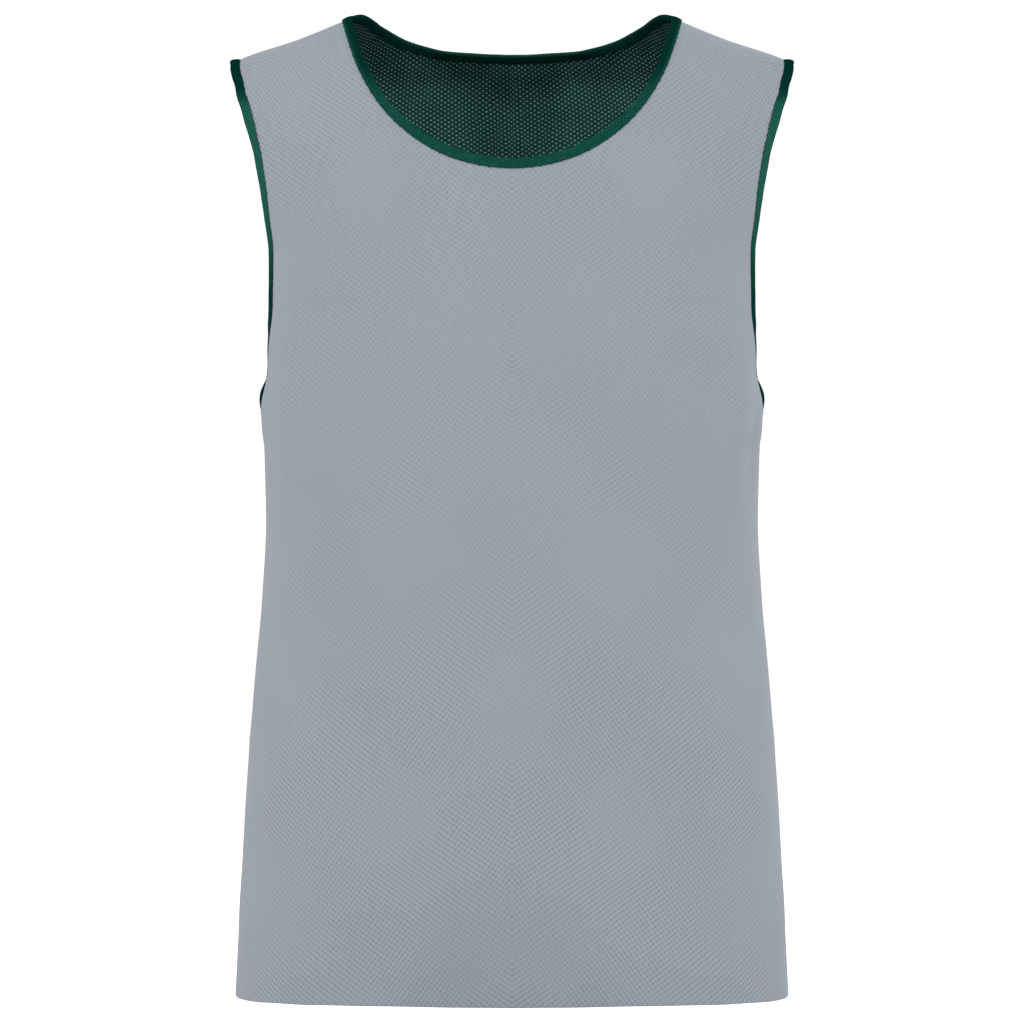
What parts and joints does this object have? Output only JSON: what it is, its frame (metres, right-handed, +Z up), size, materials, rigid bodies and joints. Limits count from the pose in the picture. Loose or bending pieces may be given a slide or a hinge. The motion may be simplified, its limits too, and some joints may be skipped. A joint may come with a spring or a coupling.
{
  "type": "reversible training bib",
  "caption": "Sleeveless two-layer mesh training bib, grey outside and green inside, with bound neck and armholes, filled out as if worn.",
  "frame": {"origin": "midway between the shoulders, level with the neck end of the shoulder seams, where the wearer's shoulders carry the bib", "axes": "+Z up, the front faces -Y, +X to the right of a viewer who looks at the front"},
  "size_m": [0.4098, 0.255, 0.7119],
  "materials": {
    "outer_mesh": "matt pale grey knitted polyester mesh",
    "inner_mesh": "matt dark green knitted polyester mesh",
    "binding": "matt dark green folded mesh strip, topstitched"
  },
  "bodies": {
    "root": {"front_outer": "outer_mesh", "back_outer": "outer_mesh", "front_inner": "inner_mesh", "back_inner": "inner_mesh", "neck_binding_front": "binding", "neck_binding_back": "binding", "armhole_binding_left": "binding", "armhole_binding_right": "binding"}
  },
  "joints": []
}
